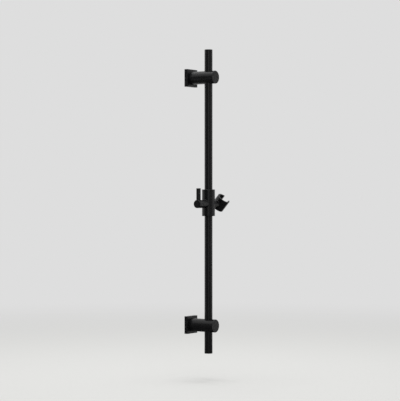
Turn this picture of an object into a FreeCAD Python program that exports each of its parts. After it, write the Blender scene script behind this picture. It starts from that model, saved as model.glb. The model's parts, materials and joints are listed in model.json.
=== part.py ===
import FreeCAD, Part
import os
import Sketcher

# Shower slide rail for a wall: a round rail in two round posts with square plates, and a slider
# with a lock lever on its left and a tilting handset cup on its right.
# The wall is the plane Y = 0, the user stands at -Y, Z is up, and the origin lies on the wall
# halfway up the rail. Lengths are millimetres and angles degrees.

Vector = FreeCAD.Vector
Rotation = FreeCAD.Rotation

driving_sizes = {
    # rail and its end caps
    "rail_length": 760,
    "rail_diameter": 20,
    "rail_wall": 1.5,
    "rail_standoff": 58,
    "cap_head": 2.5,
    "cap_spigot": 12,
    "cap_chamfer": 0.5,
    # posts
    "rail_overhang": 69.5,
    "post_diameter": 32.5,
    "post_reach": 21.5,
    "post_chamfer": 1,
    "post_bore_depth": 19,
    "ring_section": 1.6,
    "ring_diameter": 25,
    # square cover plates
    "plate_side": 44,
    "plate_depth": 9,
    "plate_bevel": 0.6,
    "plate_wall": 2.5,
    "plate_face": 2.5,
    # wall brackets behind the plates
    "bracket_base": 3,
    "bracket_gap": 0.5,
    "peg_diameter": 17,
    "peg_end_gap": 2,
    "peg_groove": 1.2,
    "peg_chamfer": 0.8,
    "wall_screw_spacing": 28,
    "wall_screw_hole": 4.5,
    "wall_screw_sink": 8.4,
    # grub screws
    "peg_screw_thread": 5,
    "peg_screw_socket": 2.5,
    "peg_screw_inset": 9,
    "peg_screw_sink": 0.8,
    "rail_screw_thread": 6,
    "rail_screw_socket": 3,
    "rail_screw_length": 12,
    "socket_depth": 2.5,
    "point_flat": 0.8,
    # slider sleeve and its guide bushes
    "slider_drop": 6,
    "sleeve_height": 66.5,
    "sleeve_wall": 3.55,
    "sleeve_chamfer": 0.8,
    "sleeve_rise": 2.9,
    "waist_gap": 1,
    "bush_wall": 2.6,
    "bush_length": 18,
    "bush_recess": 0.6,
    "bush_lead": 0.6,
    "ridge_height": 0.5,
    "ridge_width": 2,
    "ridge_inset": 5,
    "boss_diameter": 20,
    "boss_fillet": 1,
    "boss_chamfer": 0.4,
    "lock_boss_reach": 36.3,
    "cup_boss_reach": 22,
    "neck_diameter": 19,
    # lock: brake shoe, spindle, hub and lever
    "shoe_length": 7,
    "shoe_gap": 0.36,
    "spindle_diameter": 10,
    "tip_diameter": 4,
    "tip_length": 3,
    "hub_diameter": 20.5,
    "hub_gap": 0.7,
    "hub_length": 14,
    "hub_round": 1.4,
    "hub_chamfer": 0.4,
    "hub_bore": 8,
    "hub_bore_depth": 10.5,
    "lever_diameter": 11,
    "lever_height": 39,
    "lever_round": 1.2,
    "lever_spigot": 7,
    "lever_sink": 1.9,
    # handset cup and its swivel
    "cup_diameter": 34,
    "cup_length": 31.5,
    "cup_mouth": 26.4,
    "cup_foot": 23.6,
    "cup_slot": 17.8,
    "cup_chamfer": 0.8,
    "cup_reach": 50.5,
    "cup_rise": 3.5,
    "cup_tilt": 42,
    "neck_fillet": 2,
    "spigot_diameter": 12,
    "spigot_length": 4.5,
    "swivel_thread": 5,
    "swivel_head": 8.5,
    "swivel_head_height": 4,
    "swivel_head_sink": 0.3,
    "swivel_socket": 4,
    "swivel_tip_gap": 1.5,
    "washer_thickness": 0.9,
    "spring_washer_thickness": 0.55,
    "spring_washer_cone": 0.35,
    # clearances
    "running_gap": 0.05,
    "seat_gap": 0.05,
    "turning_gap": 0.3,
}

doc = FreeCAD.newDocument("shower_slide_rail")
dims = doc.addObject("Spreadsheet::Sheet", "dims")
for row, (alias, number) in enumerate(driving_sizes.items(), start=1):
    dims.set(f"A{row}", alias.replace("_", " "))
    dims.set(f"B{row}", str(number))
    dims.setAlias(f"B{row}", alias)
doc.recompute()


class Size:
    """A length that carries its number and the sheet formula that drives it."""

    def __init__(self, value, formula):
        self.value = value
        self.formula = formula

    def __add__(self, other):
        return Size(self.value + other.value, f"({self.formula} + {other.formula})")

    def __sub__(self, other):
        return Size(self.value - other.value, f"({self.formula} - {other.formula})")

    def __mul__(self, factor):
        return Size(self.value * factor, f"({self.formula} * {factor})")

    def __truediv__(self, factor):
        return Size(self.value / factor, f"({self.formula} / {factor})")

    def __neg__(self):
        return Size(-self.value, f"(-{self.formula})")


def smaller(one, other):
    return Size(min(one.value, other.value), f"min({one.formula}; {other.formula})")


class Sheet:
    """Gives each driving size of the sheet by its alias."""

    def __getattr__(self, alias):
        return Size(float(driving_sizes[alias]), f"dims.{alias}")


size = Sheet()

# Sizes that several pieces share.
rail_radius = size.rail_diameter / 2
rail_bore = size.rail_diameter - size.rail_wall * 2
tube_end = size.rail_length / 2 - size.cap_head
post_height = size.rail_length / 2 - size.rail_overhang
post_length = size.rail_standoff + size.post_reach - size.plate_depth
rail_place = size.rail_standoff - size.plate_depth
post_bore = size.peg_diameter + size.running_gap * 2
peg_length = size.plate_depth + size.post_bore_depth - size.peg_end_gap
peg_screw_place = size.plate_depth + size.peg_screw_inset
ring_groove = size.ring_section + size.seat_gap
bush_bore = size.rail_diameter + size.running_gap * 2
bush_diameter = bush_bore + size.bush_wall * 2
bush_seat = bush_diameter + size.running_gap * 2
sleeve_diameter = bush_seat + size.sleeve_wall * 2
sleeve_top = size.sleeve_height / 2 + size.sleeve_rise
sleeve_foot = size.sleeve_rise - size.sleeve_height / 2
waist_radius = rail_radius + size.waist_gap
lock_bore = size.spindle_diameter + size.running_gap * 2
shoe_back = rail_radius + size.shoe_gap + size.shoe_length
hub_inner = size.lock_boss_reach + size.hub_gap
hub_outer = hub_inner + size.hub_length
lever_reach = hub_inner + size.hub_length / 2
lever_seat = size.hub_diameter / 2 - size.lever_sink
neck_face = size.cup_boss_reach + size.washer_thickness + size.seat_gap * 2
head_face = size.cup_reach - size.cup_mouth / 2 - size.swivel_head_sink
head_seat = head_face - size.swivel_head_height
spring_room = size.spring_washer_thickness + size.spring_washer_cone + size.seat_gap * 2
cup_floor = head_seat - spring_room
slider_level = -size.slider_drop
hexagon_corner = 3**-0.5
fillet_share = 0.7
same_place = 1e-4

upright = Rotation()
upside_down = Rotation(Vector(1, 0, 0), 180)
out_of_wall = Rotation(Vector(1, 0, 0), 90)
into_wall = Rotation(Vector(1, 0, 0), -90)
to_the_left = Rotation(Vector(0, 1, 0), -90)
to_the_right = Rotation(Vector(0, 1, 0), 90)

pieces = []


def number_of(amount):
    return amount.value if isinstance(amount, Size) else amount


def new_piece(label):
    piece = doc.addObject("PartDesign::Body", label)
    piece.Label = label
    pieces.append(piece)
    return piece


def place(piece, x=0, y=0, z=0, turn=upright):
    """Turns a piece and ties its origin to the sheet."""
    piece.Placement = FreeCAD.Placement(Vector(), turn)
    for axis, amount in (("x", x), ("y", y), ("z", z)):
        if isinstance(amount, Size):
            piece.setExpression(f"Placement.Base.{axis}", amount.formula)


def place_on_slider(piece, x=0, z=None, turn=upright):
    """Places a piece from the point where the lock's axis crosses the rail's axis."""
    height = slider_level if z is None else slider_level + z
    place(piece, x=x, y=-size.rail_standoff, z=height, turn=turn)


def new_sketch(body, role, name, offset=None):
    """Adds a sketch on one of the body's own planes, shifted by expressions where asked."""
    plane = next(f for f in body.Origin.OriginFeatures if f.Role == role)
    sketch = body.newObject("Sketcher::SketchObject", f"{body.Label}_{name}")
    sketch.AttachmentSupport = (plane, [""])
    sketch.MapMode = "FlatFace"
    for axis, amount in (offset or {}).items():
        sketch.setExpression(f"AttachmentOffset.Base.{axis}", amount.formula)
    return sketch


def hold(sketch, geometry, point, across, up):
    """Pins a sketch point at its distances from the sketch origin."""
    for kind, axis, amount in (("DistanceX", -2, across), ("DistanceY", -1, up)):
        if isinstance(amount, Size):
            rule = Sketcher.Constraint(kind, -1, 1, geometry, point, amount.value)
            held = sketch.addConstraint(rule)
            sketch.setExpression(f"Constraints[{held}]", amount.formula)
        else:
            sketch.addConstraint(Sketcher.Constraint("PointOnObject", geometry, point, axis))


def add_outline(sketch, corners):
    """Draws a closed outline of straight edges through corners given as (across, up)."""
    spots = [Vector(number_of(across), number_of(up), 0) for across, up in corners]
    ends = spots[1:] + spots[:1]
    edges = [sketch.addGeometry(Part.LineSegment(a, b)) for a, b in zip(spots, ends)]
    for edge, following in zip(edges, edges[1:] + edges[:1]):
        sketch.addConstraint(Sketcher.Constraint("Coincident", edge, 2, following, 1))
    for edge, (across, up) in zip(edges, corners):
        hold(sketch, edge, 1, across, up)


def add_rectangle(sketch, left, right, low, high):
    add_outline(sketch, [(left, low), (right, low), (right, high), (left, high)])


def add_circle(sketch, diameter, across=0, up=0):
    centre = Vector(number_of(across), number_of(up), 0)
    circle = sketch.addGeometry(Part.Circle(centre, Vector(0, 0, 1), diameter.value / 2))
    hold(sketch, circle, 3, across, up)
    held = sketch.addConstraint(Sketcher.Constraint("Diameter", circle, diameter.value))
    sketch.setExpression(f"Constraints[{held}]", diameter.formula)


def add_hexagon(sketch, across_flats):
    half = across_flats / 2
    tip = across_flats * hexagon_corner
    corners = [(half, tip / 2), (0, tip), (-half, tip / 2)]
    corners += [(-half, -tip / 2), (0, -tip), (half, -tip / 2)]
    add_outline(sketch, corners)


def extrude(body, kind, sketch, length=None, reverse=False, symmetric=False):
    """Pads or pockets a sketch by a length, or right through where no length is given."""
    feature = body.newObject(f"PartDesign::{kind}", f"{sketch.Label}_{kind.lower()}")
    feature.Profile = sketch
    feature.Reversed = reverse
    feature.SideType = "Symmetric" if symmetric else "One side"
    if length is None:
        feature.Type = "ThroughAll"
    else:
        feature.setExpression("Length", length.formula)
    return feature


def revolve(body, kind, sketch):
    """Turns a sketch once round its own vertical axis, to add or to cut."""
    feature = body.newObject(f"PartDesign::{kind}", f"{sketch.Label}_{kind.lower()}")
    feature.Profile = sketch
    feature.ReferenceAxis = (sketch, ["V_Axis"])
    feature.Angle = 360
    return feature


def turned(label, corners):
    """Makes a piece turned about its own Z axis from corners given as (radius, height)."""
    body = new_piece(label)
    sketch = new_sketch(body, "XZ_Plane", "profile")
    add_outline(sketch, corners)
    revolve(body, "Revolution", sketch)
    return body


def dress(body, kind, prop, amount, wanted):
    """Fillets or chamfers the edges of the body so far that the test picks."""
    doc.recompute()
    base = body.Tip
    edges = [f"Edge{n}" for n, edge in enumerate(base.Shape.Edges, start=1) if wanted(edge)]
    feature = body.newObject(f"PartDesign::{kind}", f"{body.Label}_{kind.lower()}")
    feature.Base = (base, edges)
    feature.setExpression(prop, amount.formula)


def is_rim(edge, radius, height):
    """True for a full circle of this radius about the body's Z axis at this height."""
    if not isinstance(edge.Curve, Part.Circle):
        return False
    near_radius = abs(edge.Curve.Radius - radius.value) < same_place
    near_height = abs(edge.Curve.Center.z - height.value) < same_place
    return near_radius and near_height


def is_blend(edge):
    """True for the curve along which two round pieces run into each other."""
    return isinstance(edge.Curve, Part.BSplineCurve)


def make_rail():
    """Tube of the rail, with a plug-in cap at each end."""
    tube = new_piece("rail_tube")
    section = new_sketch(tube, "XY_Plane", "section")
    add_circle(section, size.rail_diameter)
    add_circle(section, rail_bore)
    extrude(tube, "Pad", section, tube_end * 2, symmetric=True)
    place(tube, y=-size.rail_standoff)

    spigot = rail_bore / 2 - size.seat_gap
    corners = [
        (0, -size.cap_spigot),
        (spigot - size.cap_chamfer, -size.cap_spigot),
        (spigot, size.cap_chamfer - size.cap_spigot),
        (spigot, 0),
        (rail_radius, 0),
        (rail_radius, size.cap_head - size.cap_chamfer),
        (rail_radius - size.cap_chamfer, size.cap_head),
        (0, size.cap_head),
    ]
    for name, side, turn in (("upper", 1, upright), ("lower", -1, upside_down)):
        cap = turned(f"{name}_end_cap", corners)
        place(cap, y=-size.rail_standoff, z=tube_end * side, turn=turn)


def make_bracket(name, level):
    """Wall bracket: square base with two countersunk screw holes, and a peg that carries the post."""
    bracket = new_piece(f"{name}_wall_bracket")
    half = size.plate_side / 2 - size.plate_wall - size.bracket_gap
    base = new_sketch(bracket, "XY_Plane", "base")
    add_rectangle(base, -half, half, -half, half)
    extrude(bracket, "Pad", base, size.bracket_base)

    peg_radius = size.peg_diameter / 2
    peg = new_sketch(bracket, "XZ_Plane", "peg")
    corners = [
        (0, 0),
        (peg_radius, 0),
        (peg_radius, peg_screw_place - size.peg_groove),
        (peg_radius - size.peg_groove, peg_screw_place),
        (peg_radius, peg_screw_place + size.peg_groove),
        (peg_radius, peg_length - size.peg_chamfer),
        (peg_radius - size.peg_chamfer, peg_length),
        (0, peg_length),
    ]
    add_outline(peg, corners)
    revolve(bracket, "Revolution", peg)

    screws = new_sketch(bracket, "XY_Plane", "screws", {"z": size.bracket_base})
    for side in (-1, 1):
        add_circle(screws, size.wall_screw_hole, across=size.wall_screw_spacing / 2 * side)
    doc.recompute()
    holes = bracket.newObject("PartDesign::Hole", f"{name}_wall_bracket_holes")
    holes.Profile = screws
    holes.DepthType = "ThroughAll"
    holes.HoleCutType = "Countersink"
    holes.HoleCutCustomValues = True
    holes.HoleCutCountersinkAngle = 90
    holes.setExpression("Diameter", size.wall_screw_hole.formula)
    holes.setExpression("HoleCutDiameter", size.wall_screw_sink.formula)
    place(bracket, z=level, turn=out_of_wall)


def make_cover_plate(name, level):
    """Hollow square plate over the bracket, with bevelled front edges and a hole for the peg."""
    plate = new_piece(f"{name}_cover_plate")
    half = size.plate_side / 2
    block = new_sketch(plate, "XY_Plane", "block")
    add_rectangle(block, -half, half, -half, half)
    extrude(plate, "Pad", block, size.plate_depth)

    def on_front(edge):
        return all(abs(end.Z - size.plate_depth.value) < same_place for end in edge.Vertexes)

    dress(plate, "Chamfer", "Size", size.plate_bevel, on_front)
    inside = half - size.plate_wall
    hollow = new_sketch(plate, "XY_Plane", "hollow")
    add_rectangle(hollow, -inside, inside, -inside, inside)
    extrude(plate, "Pocket", hollow, size.plate_depth - size.plate_face, reverse=True)
    eye = new_sketch(plate, "XY_Plane", "eye")
    add_circle(eye, size.peg_diameter + size.bracket_gap * 2)
    extrude(plate, "Pocket", eye, reverse=True)
    place(plate, z=level, turn=out_of_wall)


def make_post(name, level):
    """Round post bored for the peg, the rail and both grub screws, and the seal ring in its foot."""
    radius = size.post_diameter / 2
    groove_half = ring_groove / 2 + size.seat_gap
    ring_radius = size.ring_diameter / 2
    corners = [
        (post_bore / 2, 0),
        (ring_radius - groove_half, 0),
        (ring_radius - groove_half, ring_groove),
        (ring_radius + groove_half, ring_groove),
        (ring_radius + groove_half, 0),
        (radius, 0),
        (radius, post_length - size.post_chamfer),
        (radius - size.post_chamfer, post_length),
        (0, post_length),
        (0, rail_place),
        (size.rail_screw_thread / 2 + size.seat_gap, rail_place),
        (size.rail_screw_thread / 2 + size.seat_gap, size.post_bore_depth),
        (post_bore / 2, size.post_bore_depth),
    ]
    post = turned(f"{name}_post", corners)
    rail_hole = new_sketch(post, "XZ_Plane", "rail_hole")
    add_circle(rail_hole, size.rail_diameter + size.seat_gap * 2, up=rail_place)
    extrude(post, "Pocket", rail_hole, symmetric=True)
    screw_hole = new_sketch(post, "XZ_Plane", "screw_hole")
    add_circle(screw_hole, size.peg_screw_thread + size.seat_gap * 2, up=size.peg_screw_inset)
    extrude(post, "Pocket", screw_hole, reverse=True)
    place(post, y=-size.plate_depth, z=level, turn=out_of_wall)

    ring_half = size.ring_section / 2
    ring_corners = [
        (ring_radius - ring_half, 0),
        (ring_radius + ring_half, 0),
        (ring_radius + ring_half, size.ring_section),
        (ring_radius - ring_half, size.ring_section),
    ]
    ring = turned(f"{name}_plate_ring", ring_corners)
    place(ring, y=-size.plate_depth - size.seat_gap / 2, z=level, turn=out_of_wall)


def make_grub_screw(label, thread, length, socket):
    """Headless screw that stands on its cone point, with a hexagon socket in its top."""
    radius = thread / 2
    corners = [
        (0, 0),
        (size.point_flat / 2, 0),
        (radius, radius - size.point_flat / 2),
        (radius, length),
        (0, length),
    ]
    screw = turned(label, corners)
    top = new_sketch(screw, "XY_Plane", "socket", {"z": length})
    add_hexagon(top, socket)
    extrude(screw, "Pocket", top, size.socket_depth)
    return screw


def make_post_screws(name, level):
    """Grub screw from below onto the peg, and one inside the post onto the back of the rail."""
    point = size.peg_diameter / 2 - size.peg_groove + size.point_flat / 2 + size.seat_gap
    length = size.post_diameter / 2 - size.peg_screw_sink - point
    peg_screw = make_grub_screw(
        f"{name}_peg_screw", size.peg_screw_thread, length, size.peg_screw_socket
    )
    place(peg_screw, y=-peg_screw_place, z=level - point, turn=upside_down)
    rail_screw = make_grub_screw(
        f"{name}_rail_screw", size.rail_screw_thread, size.rail_screw_length, size.rail_screw_socket
    )
    behind_rail = size.rail_standoff - rail_radius - size.seat_gap
    place(rail_screw, y=-behind_rail, z=level, turn=into_wall)


def make_sleeve():
    """Slider body: a sleeve on the rail, with a boss for the lock and a boss for the cup."""
    sleeve = new_piece("slider_sleeve")
    radius = sleeve_diameter / 2
    edge = size.sleeve_chamfer
    skin = new_sketch(sleeve, "XZ_Plane", "skin")
    corners = [
        (0, sleeve_foot),
        (radius - edge, sleeve_foot),
        (radius, sleeve_foot + edge),
        (radius, sleeve_top - edge),
        (radius - edge, sleeve_top),
        (0, sleeve_top),
    ]
    add_outline(skin, corners)
    revolve(sleeve, "Revolution", skin)
    lock_boss = new_sketch(sleeve, "YZ_Plane", "lock_boss")
    add_circle(lock_boss, size.boss_diameter)
    extrude(sleeve, "Pad", lock_boss, size.lock_boss_reach, reverse=True)
    cup_boss = new_sketch(sleeve, "YZ_Plane", "cup_boss")
    add_circle(cup_boss, size.neck_diameter)
    extrude(sleeve, "Pad", cup_boss, size.cup_boss_reach)
    dress(sleeve, "Fillet", "Radius", size.boss_fillet, is_blend)

    def on_boss_end(curve_edge):
        if not isinstance(curve_edge.Curve, Part.Circle):
            return False
        return abs(curve_edge.Curve.Center.x + size.lock_boss_reach.value) < same_place

    dress(sleeve, "Chamfer", "Size", size.boss_chamfer, on_boss_end)
    cut_sleeve_bores(sleeve)
    place_on_slider(sleeve)


def cut_sleeve_bores(sleeve):
    """Cuts the seats of the guide bushes with their ridge grooves, and the bores of both bosses."""
    seat = bush_seat / 2
    groove = seat + size.ridge_height
    shelf = size.bush_recess + size.bush_length + size.turning_gap
    ridge_near = size.bush_recess + size.ridge_inset - size.turning_gap / 2
    ridge_far = ridge_near + size.ridge_width + size.turning_gap
    corners = [
        (0, sleeve_foot),
        (seat, sleeve_foot),
        (seat, sleeve_foot + ridge_near),
        (groove, sleeve_foot + ridge_near),
        (groove, sleeve_foot + ridge_far),
        (seat, sleeve_foot + ridge_far),
        (seat, sleeve_foot + shelf),
        (waist_radius, sleeve_foot + shelf),
        (waist_radius, sleeve_top - shelf),
        (seat, sleeve_top - shelf),
        (seat, sleeve_top - ridge_far),
        (groove, sleeve_top - ridge_far),
        (groove, sleeve_top - ridge_near),
        (seat, sleeve_top - ridge_near),
        (seat, sleeve_top),
        (0, sleeve_top),
    ]
    bore = new_sketch(sleeve, "XZ_Plane", "bore")
    add_outline(bore, corners)
    revolve(sleeve, "Groove", bore)
    lock = new_sketch(sleeve, "YZ_Plane", "lock_bore")
    add_circle(lock, lock_bore)
    extrude(sleeve, "Pocket", lock)
    thread = new_sketch(sleeve, "YZ_Plane", "swivel_thread")
    add_circle(thread, size.swivel_thread + size.seat_gap * 2)
    extrude(sleeve, "Pocket", thread, reverse=True)
    pivot = new_sketch(sleeve, "YZ_Plane", "pivot", {"z": size.cup_boss_reach})
    add_circle(pivot, size.spigot_diameter + size.running_gap * 2)
    extrude(sleeve, "Pocket", pivot, size.spigot_length + size.turning_gap)


def make_guide_bushes():
    """Plastic bushes that run on the rail, each held in the sleeve by a ridge in a groove."""
    inner = bush_bore / 2
    outer = bush_diameter / 2
    ridge = outer + size.ridge_height
    ridge_top = size.bush_length - size.ridge_inset
    ridge_low = ridge_top - size.ridge_width
    corners = [
        (inner, 0),
        (outer, 0),
        (outer, ridge_low),
        (ridge, ridge_low),
        (ridge, ridge_top),
        (outer, ridge_top),
        (outer, size.bush_length),
        (inner + size.bush_lead, size.bush_length),
        (inner, size.bush_length - size.bush_lead),
    ]
    depth = size.bush_recess + size.bush_length
    upper = turned("upper_guide_bush", corners)
    place_on_slider(upper, z=sleeve_top - depth)
    lower = turned("lower_guide_bush", corners)
    place_on_slider(lower, z=sleeve_foot + depth, turn=upside_down)


def make_brake_shoe():
    """Plastic shoe in the lock boss, hollowed to the rail and socketed for the spindle's tip."""
    shoe = new_piece("brake_shoe")
    blank = new_sketch(shoe, "YZ_Plane", "blank")
    add_circle(blank, size.spindle_diameter)
    extrude(shoe, "Pad", blank, shoe_back, reverse=True)
    hollow = new_sketch(shoe, "XY_Plane", "hollow")
    add_circle(hollow, size.rail_diameter + size.shoe_gap * 2)
    extrude(shoe, "Pocket", hollow, symmetric=True)
    socket = new_sketch(shoe, "YZ_Plane", "socket", {"z": -shoe_back})
    add_circle(socket, size.tip_diameter + size.seat_gap * 2)
    extrude(shoe, "Pocket", socket, size.tip_length + size.turning_gap, reverse=True)
    place_on_slider(shoe)


def make_lock():
    """Screw spindle behind the shoe, the hub on its outer end and the lever rod that turns it."""
    start = shoe_back + size.seat_gap
    spindle_radius = size.spindle_diameter / 2
    spigot_radius = size.hub_bore / 2
    spigot_end = hub_inner + size.hub_bore_depth - size.turning_gap
    spindle_corners = [
        (0, start - size.tip_length),
        (size.tip_diameter / 2, start - size.tip_length),
        (size.tip_diameter / 2, start),
        (spindle_radius, start),
        (spindle_radius, hub_inner - size.seat_gap),
        (spigot_radius, hub_inner - size.seat_gap),
        (spigot_radius, spigot_end),
        (0, spigot_end),
    ]
    spindle = turned("lock_spindle", spindle_corners)
    place_on_slider(spindle, turn=to_the_left)

    hub_radius = size.hub_diameter / 2
    bore_radius = spigot_radius + size.seat_gap
    hub_corners = [
        (bore_radius, hub_inner),
        (hub_radius - size.hub_chamfer, hub_inner),
        (hub_radius, hub_inner + size.hub_chamfer),
        (hub_radius, hub_outer),
        (0, hub_outer),
        (0, hub_inner + size.hub_bore_depth),
        (bore_radius, hub_inner + size.hub_bore_depth),
    ]
    hub = turned("lever_hub", hub_corners)
    dress(hub, "Fillet", "Radius", size.hub_round, lambda e: is_rim(e, hub_radius, hub_outer))
    seat = new_sketch(hub, "YZ_Plane", "lever_seat", {"z": lever_seat - size.seat_gap})
    add_circle(seat, size.lever_diameter + size.seat_gap * 2, up=lever_reach)
    extrude(hub, "Pocket", seat, reverse=True)
    socket = new_sketch(hub, "YZ_Plane", "lever_socket")
    add_circle(socket, size.lever_spigot + size.seat_gap * 2, up=lever_reach)
    extrude(hub, "Pocket", socket, reverse=True)
    place_on_slider(hub, turn=to_the_left)

    lever_radius = size.lever_diameter / 2
    lever_corners = [
        (0, spigot_radius + size.seat_gap),
        (size.lever_spigot / 2, spigot_radius + size.seat_gap),
        (size.lever_spigot / 2, lever_seat),
        (lever_radius, lever_seat),
        (lever_radius, size.lever_height),
        (0, size.lever_height),
    ]
    lever = turned("lever_rod", lever_corners)
    dress(lever, "Fillet", "Radius", size.lever_round, lambda e: is_rim(e, lever_radius, size.lever_height))
    place_on_slider(lever, x=-lever_reach)


def make_handset_cup():
    """Slotted cup with a tapered bore, on a round neck that turns in the sleeve's right boss."""
    cup = new_piece("handset_cup")
    radius = size.cup_diameter / 2
    top = size.cup_rise + size.cup_length / 2
    foot = size.cup_rise - size.cup_length / 2
    edge = size.cup_chamfer
    skin = new_sketch(cup, "XZ_Plane", "skin", {"x": size.cup_reach})
    corners = [
        (0, foot),
        (radius - edge, foot),
        (radius, foot + edge),
        (radius, top - edge),
        (radius - edge, top),
        (0, top),
    ]
    add_outline(skin, corners)
    revolve(cup, "Revolution", skin)
    neck = new_sketch(cup, "YZ_Plane", "neck", {"z": neck_face})
    add_circle(neck, size.neck_diameter)
    extrude(cup, "Pad", neck, size.cup_reach - neck_face)
    neck_room = size.cup_length / 2 - size.cup_rise - size.neck_diameter / 2 - edge
    dress(cup, "Fillet", "Radius", smaller(size.neck_fillet, neck_room * fillet_share), is_blend)
    spigot = new_sketch(cup, "YZ_Plane", "spigot", {"z": neck_face})
    add_circle(spigot, size.spigot_diameter)
    inside_boss = size.spigot_length + neck_face - size.cup_boss_reach
    extrude(cup, "Pad", spigot, inside_boss, reverse=True)

    bore = new_sketch(cup, "XZ_Plane", "bore", {"x": size.cup_reach})
    add_outline(bore, [(0, foot), (size.cup_foot / 2, foot), (size.cup_mouth / 2, top), (0, top)])
    revolve(cup, "Groove", bore)
    slot = new_sketch(cup, "XY_Plane", "slot")
    half = size.cup_slot / 2
    add_rectangle(slot, size.cup_reach, size.cup_reach + size.cup_diameter, -half, half)
    extrude(cup, "Pocket", slot, symmetric=True)
    shank_hole = new_sketch(cup, "YZ_Plane", "shank_hole")
    add_circle(shank_hole, size.swivel_thread + size.turning_gap * 2)
    extrude(cup, "Pocket", shank_hole, reverse=True)
    head_hole = new_sketch(cup, "YZ_Plane", "head_hole", {"z": cup_floor})
    add_circle(head_hole, size.swivel_head + size.turning_gap * 2)
    extrude(cup, "Pocket", head_hole, reverse=True)
    place_on_slider(cup, turn=Rotation(Vector(1, 0, 0), size.cup_tilt.value))
    cup.setExpression("Placement.Rotation.Angle", size.cup_tilt.formula)


def make_swivel():
    """Screw that holds the cup to the sleeve, the coned washer under its head and the friction washer."""
    tip = waist_radius + size.swivel_tip_gap
    shank = size.swivel_thread / 2
    head = size.swivel_head / 2
    screw_corners = [
        (0, tip),
        (shank, tip),
        (shank, head_seat),
        (head, head_seat),
        (head, head_face),
        (0, head_face),
    ]
    screw = turned("swivel_screw", screw_corners)
    socket = new_sketch(screw, "XY_Plane", "socket", {"z": head_face})
    add_hexagon(socket, size.swivel_socket)
    extrude(screw, "Pocket", socket, size.socket_depth)
    place_on_slider(screw, turn=to_the_right)

    eye = shank + size.turning_gap
    low = cup_floor + size.seat_gap
    spring_corners = [
        (eye, low + size.spring_washer_cone),
        (head, low),
        (head, low + size.spring_washer_thickness),
        (eye, low + size.spring_washer_cone + size.spring_washer_thickness),
    ]
    spring = turned("swivel_spring_washer", spring_corners)
    place_on_slider(spring, turn=to_the_right)

    ring_start = size.cup_boss_reach + size.seat_gap
    ring_end = ring_start + size.washer_thickness
    ring_eye = size.spigot_diameter / 2 + size.turning_gap
    ring_edge = size.neck_diameter / 2 - size.turning_gap
    ring_corners = [
        (ring_eye, ring_start),
        (ring_edge, ring_start),
        (ring_edge, ring_end),
        (ring_eye, ring_end),
    ]
    ring = turned("friction_washer", ring_corners)
    place_on_slider(ring, turn=to_the_right)


make_rail()
for place_name, side_of_middle in (("upper", 1), ("lower", -1)):
    post_level = post_height * side_of_middle
    make_bracket(place_name, post_level)
    make_cover_plate(place_name, post_level)
    make_post(place_name, post_level)
    make_post_screws(place_name, post_level)
make_sleeve()
make_guide_bushes()
make_brake_shoe()
make_lock()
make_handset_cup()
make_swivel()
doc.recompute()

for thing in doc.Objects:
    if "Invalid" in thing.State or "Error" in thing.State:
        raise RuntimeError(f"{thing.Label} did not build: {thing.State}")
for piece in pieces:
    if piece.Shape.isNull() or not piece.Shape.isValid():
        raise RuntimeError(f"{piece.Label} has no valid shape")
    if len(piece.Shape.Solids) != 1:
        raise RuntimeError(f"{piece.Label} is not one solid")

os.makedirs("parts", exist_ok=True)
for piece in pieces:
    piece.Shape.exportStep(f"parts/{piece.Label}.step")
    print(f"{piece.Label}: {piece.Shape.Volume:.1f} mm3")
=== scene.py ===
import json
import math

import bmesh
import bpy
from mathutils import Matrix, Vector

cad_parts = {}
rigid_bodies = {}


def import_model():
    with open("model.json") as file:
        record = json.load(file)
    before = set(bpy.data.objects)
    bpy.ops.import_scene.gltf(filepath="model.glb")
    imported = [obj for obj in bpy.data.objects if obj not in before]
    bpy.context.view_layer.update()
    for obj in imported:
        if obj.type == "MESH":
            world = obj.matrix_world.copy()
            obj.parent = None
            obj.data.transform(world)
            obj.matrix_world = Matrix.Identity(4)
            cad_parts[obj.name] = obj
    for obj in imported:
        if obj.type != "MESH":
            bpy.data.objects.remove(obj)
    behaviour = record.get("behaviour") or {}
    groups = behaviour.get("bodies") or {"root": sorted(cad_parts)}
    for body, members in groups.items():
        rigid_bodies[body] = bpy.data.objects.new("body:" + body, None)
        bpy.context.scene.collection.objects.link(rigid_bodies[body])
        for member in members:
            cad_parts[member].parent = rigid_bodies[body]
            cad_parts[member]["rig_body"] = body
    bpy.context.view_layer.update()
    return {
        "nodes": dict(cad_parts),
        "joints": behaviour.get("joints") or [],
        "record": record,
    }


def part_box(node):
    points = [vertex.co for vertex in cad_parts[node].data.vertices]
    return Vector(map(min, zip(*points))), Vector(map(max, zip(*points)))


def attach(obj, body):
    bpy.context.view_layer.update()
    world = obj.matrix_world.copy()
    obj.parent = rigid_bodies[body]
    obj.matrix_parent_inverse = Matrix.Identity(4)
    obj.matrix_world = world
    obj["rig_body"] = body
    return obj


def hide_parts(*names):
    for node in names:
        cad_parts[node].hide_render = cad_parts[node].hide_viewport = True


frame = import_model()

# Shower slide rail in satin black. The turned and milled pieces get soft edges and threads here, and
# every surface its finish. Pieces are modelled in millimetres and brought to metres when placed.
mm = 0.001
samePlace = 1e-4  # mm between points that count as one
slimmest = 1e-3   # mm, shortest edge that a cut may leave
onSurface = 0.05  # mm between an edge and the bore or face that it lies on
overrun = 5       # mm by which a cutter reaches past the metal
scene = bpy.context.scene
scene.view_settings.view_transform = "Standard"
slotOf = {row["node"]: row["material_slot"] for row in frame["record"]["subparts"]}
swivel = next(joint for joint in frame["joints"] if joint["name"] == "slider_swivel")
sliderCentre = Vector(swivel["pos_m"]) / mm  # where the lock's axis meets the rail's
print("frame loaded with", len(frame["nodes"]), "nodes")


def hexToLinear(hexText):
    shares = [int(hexText[place:place + 2], 16) / 255 for place in (1, 3, 5)]
    return [s / 12.92 if s <= 0.04045 else ((s + 0.055) / 1.055) ** 2.4 for s in shares] + [1.0]


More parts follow.
